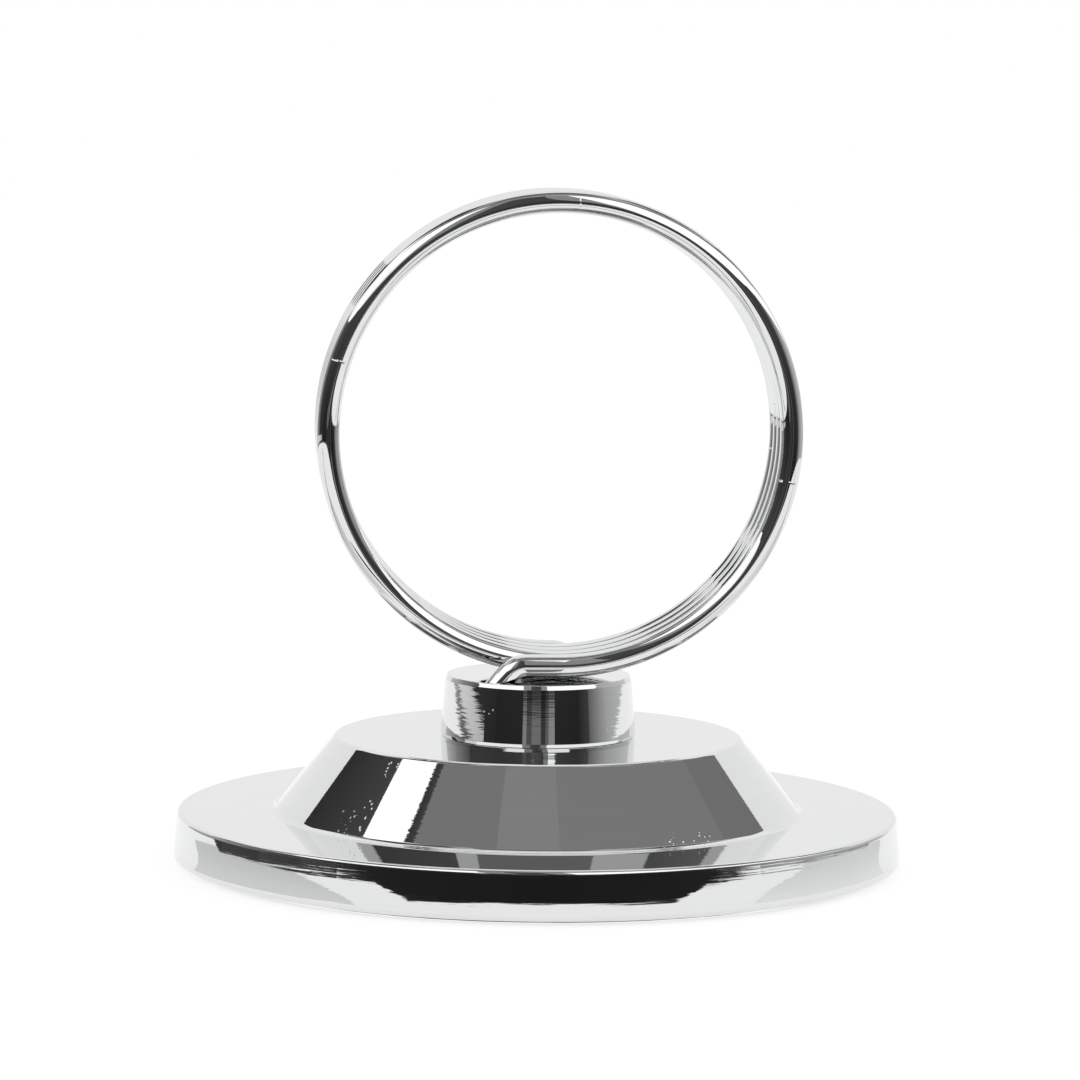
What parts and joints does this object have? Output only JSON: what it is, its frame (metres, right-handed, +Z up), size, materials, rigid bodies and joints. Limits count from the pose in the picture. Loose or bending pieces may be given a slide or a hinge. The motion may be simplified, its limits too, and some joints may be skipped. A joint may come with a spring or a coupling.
{
  "type": "place card holder",
  "caption": "Weighted round chrome base with a raised cone and a turned collar, carrying a spring-wire clip ring that grips a place card upright between its turns.",
  "frame": {"origin": "centre of the felt underside, on the table", "axes": "+Z up along the base's axis; -Y is the front, from which the ring is seen as a full circle; +X right"},
  "size_m": [0.057, 0.057, 0.0527],
  "materials": {
    "shell_chrome": "bright chrome plate, spin polished",
    "collar_chrome": "bright chrome plate over fine turning lines",
    "wire_chrome": "bright chrome plate on drawn wire",
    "ballast_iron": "as cast",
    "fastener_zinc": "zinc plated",
    "pad_felt": "pale grey pressed wool felt"
  },
  "bodies": {
    "base": {"base_shell": "shell_chrome", "ballast_weight": "ballast_iron", "felt_pad": "pad_felt", "neck_collar": "collar_chrome", "fixing_screw": "fastener_zinc", "flat_washer": "fastener_zinc", "lock_washer": "fastener_zinc"},
    "front_half": {"ring_front_half": "wire_chrome"},
    "rear_half": {"ring_rear_half": "wire_chrome"}
  },
  "joints": [
    {"name": "front_half_lean", "type": "hinge", "parent": "base", "child": "front_half", "pos_m": [0.00125, -0.0045, 0.01595], "axis": [1, 0, 0], "range_deg": [0, 3], "stiffness_Nm_per_rad": 2},
    {"name": "rear_half_lean", "type": "hinge", "parent": "base", "child": "rear_half", "pos_m": [0.00125, 0.0045, 0.01595], "axis": [-1, 0, 0], "range_deg": [0, 3], "stiffness_Nm_per_rad": 2}
  ]
}
